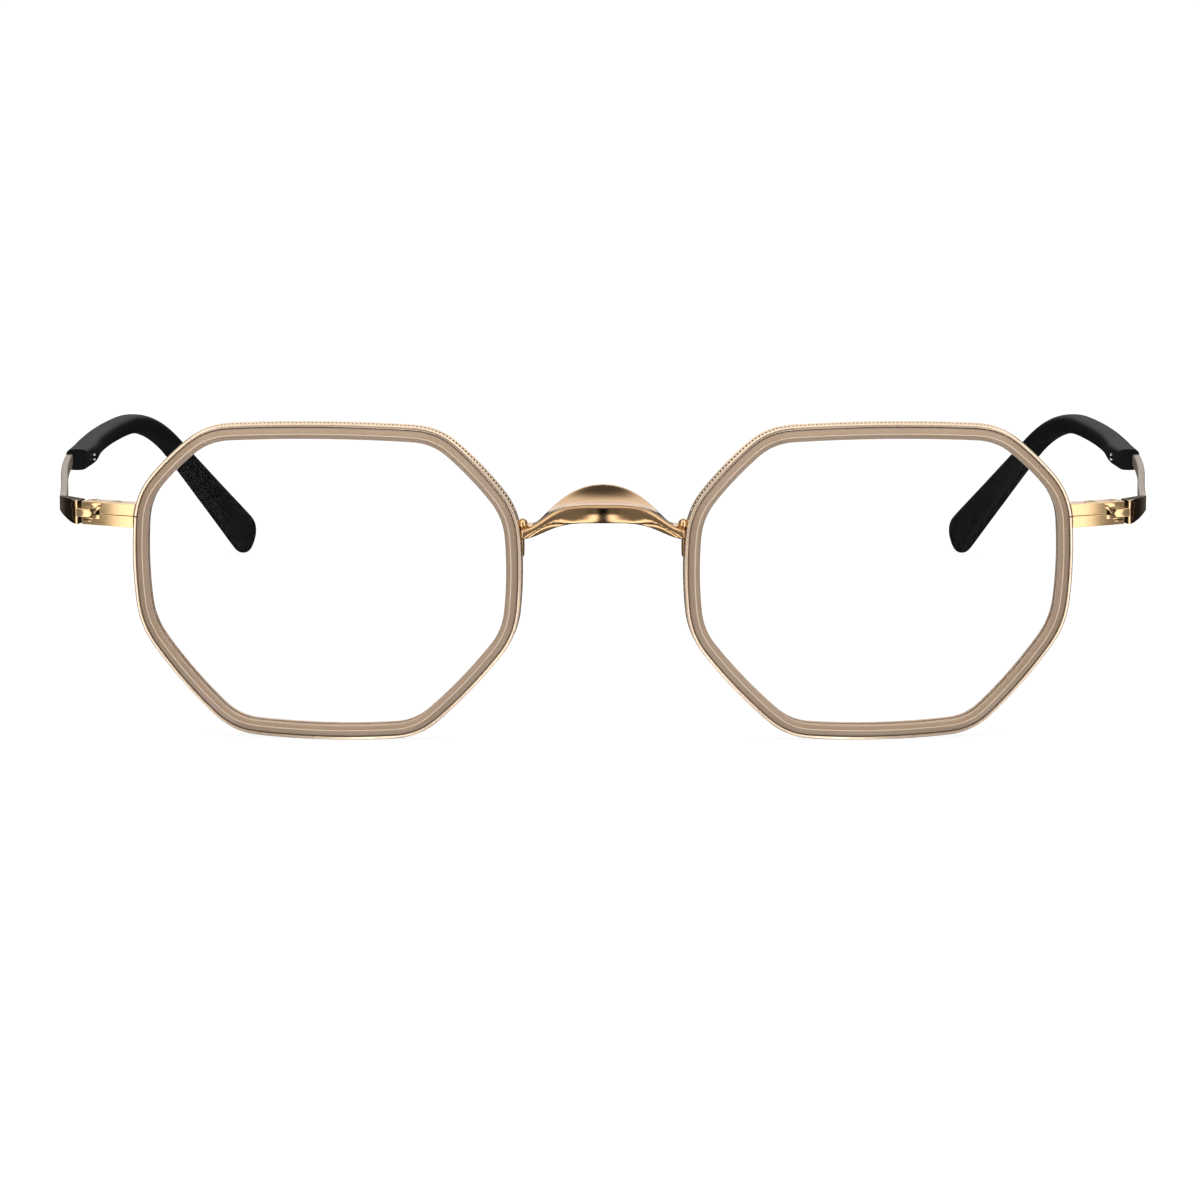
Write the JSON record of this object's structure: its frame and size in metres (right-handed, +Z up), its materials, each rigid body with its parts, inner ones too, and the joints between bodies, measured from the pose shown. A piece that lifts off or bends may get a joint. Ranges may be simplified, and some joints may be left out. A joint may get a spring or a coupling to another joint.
{
  "type": "eyeglasses",
  "caption": "Geometric octagonal eyeglasses: gold metal eyewires, taupe inner rims, saddle bridge with no nose pads, and folding temples with black tips.",
  "frame": {"origin": "on the table under the middle of the standing glasses, in the middle from side to side and from front to back", "axes": "+X to the wearer's left, +Y from the lenses back along the open temples, +Z up"},
  "size_m": [0.1502, 0.1394, 0.0415],
  "materials": {
    "gold_metal": "polished, aged gold",
    "taupe_acetate": "polished, slightly translucent",
    "clear_lens": "clear",
    "taupe_metal": "satin lacquer",
    "black_plastic": "satin",
    "silver_metal": "polished"
  },
  "bodies": {
    "front": {"eyewire_left": "gold_metal", "eyewire_right": "gold_metal", "inner_rim_left": "taupe_acetate", "inner_rim_right": "taupe_acetate", "lens_left": "clear_lens", "lens_right": "clear_lens", "saddle_bridge": "gold_metal", "endpiece_upper_left": "gold_metal", "endpiece_upper_right": "gold_metal", "endpiece_lower_left": "gold_metal", "endpiece_lower_right": "gold_metal", "rim_screw_left": "gold_metal", "rim_screw_right": "gold_metal", "hinge_screw_left": "gold_metal", "hinge_screw_right": "gold_metal"},
    "temple_left": {"temple_joint_left": "gold_metal", "temple_strip_left": "taupe_metal", "temple_tip_left": "black_plastic", "tip_pins_left": "silver_metal"},
    "temple_right": {"temple_joint_right": "gold_metal", "temple_strip_right": "taupe_metal", "temple_tip_right": "black_plastic", "tip_pins_right": "silver_metal"}
  },
  "joints": [
    {"name": "left_temple_fold", "type": "hinge", "parent": "front", "child": "temple_left", "pos_m": [-0.06611, -0.06053, 0.02881], "axis": [0, 0, -1], "range_deg": [0, 85]},
    {"name": "right_temple_fold", "type": "hinge", "parent": "front", "child": "temple_right", "pos_m": [0.06611, -0.06053, 0.02881], "axis": [0, 0, 1], "range_deg": [0, 78]}
  ]
}
